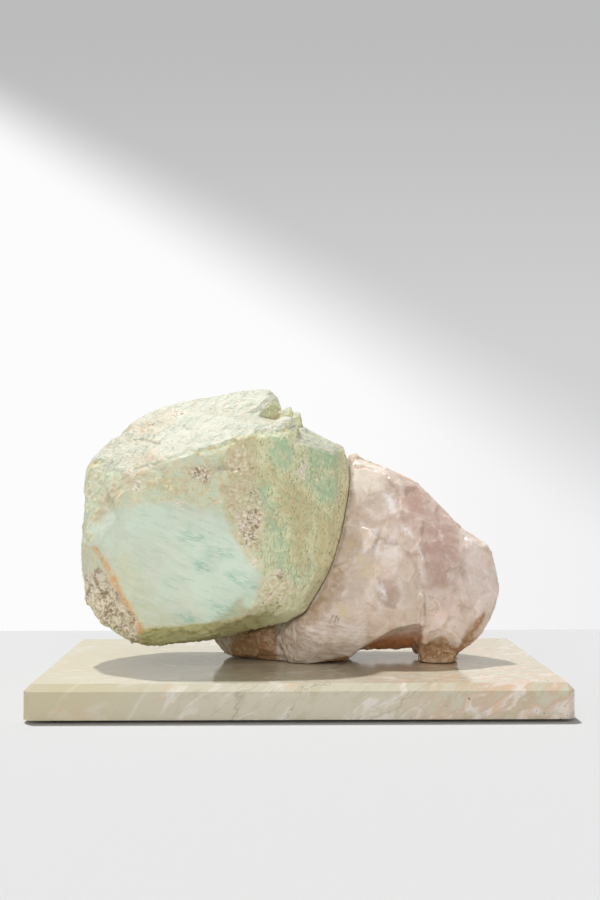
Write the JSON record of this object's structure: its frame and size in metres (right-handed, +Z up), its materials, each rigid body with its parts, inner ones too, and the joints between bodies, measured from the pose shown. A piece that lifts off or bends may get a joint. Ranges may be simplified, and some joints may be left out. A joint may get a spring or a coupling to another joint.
{
  "type": "aquamarine and rose quartz specimen on marble base",
  "caption": "Rough aquamarine boulder leaning on a rose quartz boulder, both fixed on a polished marble slab with chamfered edges and a thin pad under it.",
  "frame": {"origin": "middle of the underside of the whole specimen, at the height of the surface it stands on", "axes": "+X along the marble slab's length, to the right of a viewer in front; +Y into the scene, away from that viewer; +Z up"},
  "size_m": [0.47, 0.3, 0.2967],
  "materials": {
    "aquamarine": "satin",
    "rose_quartz": "satin",
    "marble_base": "polished",
    "felt_pad": "matte"
  },
  "bodies": {
    "root": {"aquamarine": "aquamarine", "rose_quartz": "rose_quartz", "marble_base": "marble_base", "felt_pad": "felt_pad"}
  },
  "joints": []
}
